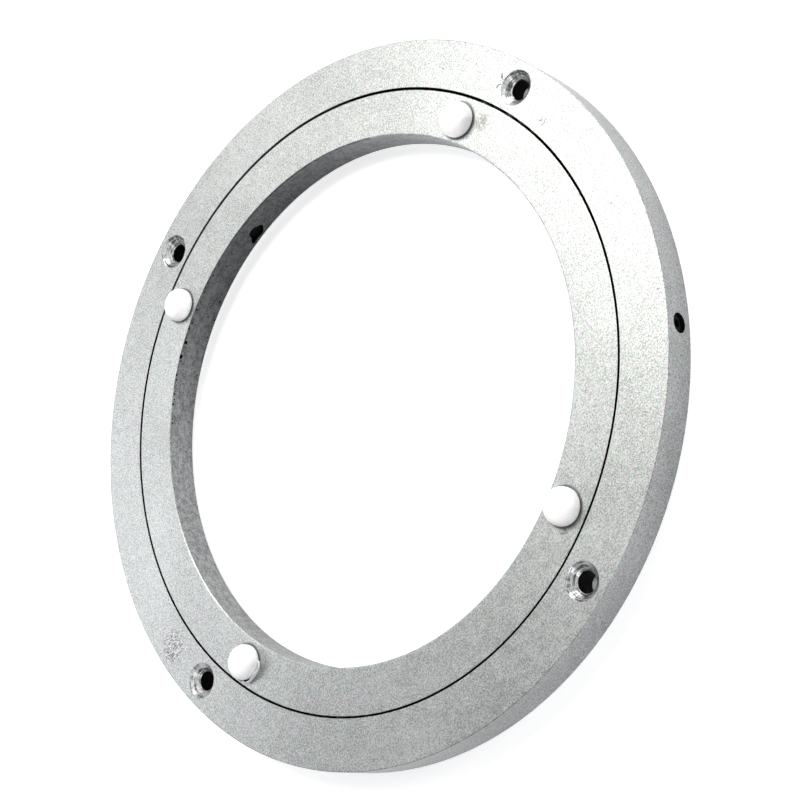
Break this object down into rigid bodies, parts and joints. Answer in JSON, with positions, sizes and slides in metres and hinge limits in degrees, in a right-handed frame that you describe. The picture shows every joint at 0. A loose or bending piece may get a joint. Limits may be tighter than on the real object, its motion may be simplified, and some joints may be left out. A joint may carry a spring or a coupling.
{
  "type": "four-point-contact turntable ball bearing",
  "caption": "Flat ring-shaped turntable bearing: two concentric aluminium rings turn on a hidden ball row, with countersunk screw holes and white rubber pads.",
  "frame": {"origin": "the point where the bearing axis meets the plane of the outer ring's back face", "axes": "+Z along the bearing axis from the back face towards the side with the pads and countersinks; +X from the axis through one of the countersunk holes"},
  "size_m": [0.2, 0.2, 0.014],
  "materials": {
    "ring_aluminium": "fine sandblasted satin",
    "ball_steel": "polished bearing steel under a film of dark grease",
    "spacer_nylon": "black nylon",
    "filler_plug_black": "black oxide steel, slightly glossy",
    "oil_plug_rubber": "black rubber",
    "pad_rubber": "soft white silicone rubber"
  },
  "bodies": {
    "outer_ring": {"outer_ring": "ring_aluminium", "filler_plug": "filler_plug_black"},
    "inner_ring": {"inner_ring": "ring_aluminium", "pads": "pad_rubber", "oil_plug": "oil_plug_rubber"},
    "ball_train": {"steel_ball_01": "ball_steel", "steel_ball_02": "ball_steel", "steel_ball_03": "ball_steel", "steel_ball_04": "ball_steel", "steel_ball_05": "ball_steel", "steel_ball_06": "ball_steel", "steel_ball_07": "ball_steel", "steel_ball_08": "ball_steel", "steel_ball_09": "ball_steel", "steel_ball_10": "ball_steel", "steel_ball_11": "ball_steel", "steel_ball_12": "ball_steel", "steel_ball_13": "ball_steel", "steel_ball_14": "ball_steel", "steel_ball_15": "ball_steel", "steel_ball_16": "ball_steel", "steel_ball_17": "ball_steel", "steel_ball_18": "ball_steel", "steel_ball_19": "ball_steel", "steel_ball_20": "ball_steel", "steel_ball_21": "ball_steel", "steel_ball_22": "ball_steel", "steel_ball_23": "ball_steel", "steel_ball_24": "ball_steel", "steel_ball_25": "ball_steel", "steel_ball_26": "ball_steel", "steel_ball_27": "ball_steel", "steel_ball_28": "ball_steel", "steel_ball_29": "ball_steel", "steel_ball_30": "ball_steel", "steel_ball_31": "ball_steel", "steel_ball_32": "ball_steel", "steel_ball_33": "ball_steel", "steel_ball_34": "ball_steel", "steel_ball_35": "ball_steel", "steel_ball_36": "ball_steel", "steel_ball_37": "ball_steel", "steel_ball_38": "ball_steel", "steel_ball_39": "ball_steel", "steel_ball_40": "ball_steel", "steel_ball_41": "ball_steel", "steel_ball_42": "ball_steel", "steel_ball_43": "ball_steel", "steel_ball_44": "ball_steel", "steel_ball_45": "ball_steel", "steel_ball_46": "ball_steel", "steel_ball_47": "ball_steel", "steel_ball_48": "ball_steel", "steel_ball_49": "ball_steel", "steel_ball_50": "ball_steel", "steel_ball_51": "ball_steel", "steel_ball_52": "ball_steel", "steel_ball_53": "ball_steel", "steel_ball_54": "ball_steel", "spacer_balls": "spacer_nylon"}
  },
  "joints": [
    {"name": "inner_ring_turn", "type": "hinge", "parent": "outer_ring", "child": "inner_ring", "pos_m": [0, 0, 0.005], "axis": [0, 0, 1], "continuous": true},
    {"name": "ball_train_orbit", "type": "hinge", "parent": "outer_ring", "child": "ball_train", "pos_m": [0, 0, 0.005], "axis": [0, 0, 1], "continuous": true}
  ],
  "couplings": [
    {"joint": "ball_train_orbit", "follows": "inner_ring_turn", "ratio": 0.48972}
  ]
}
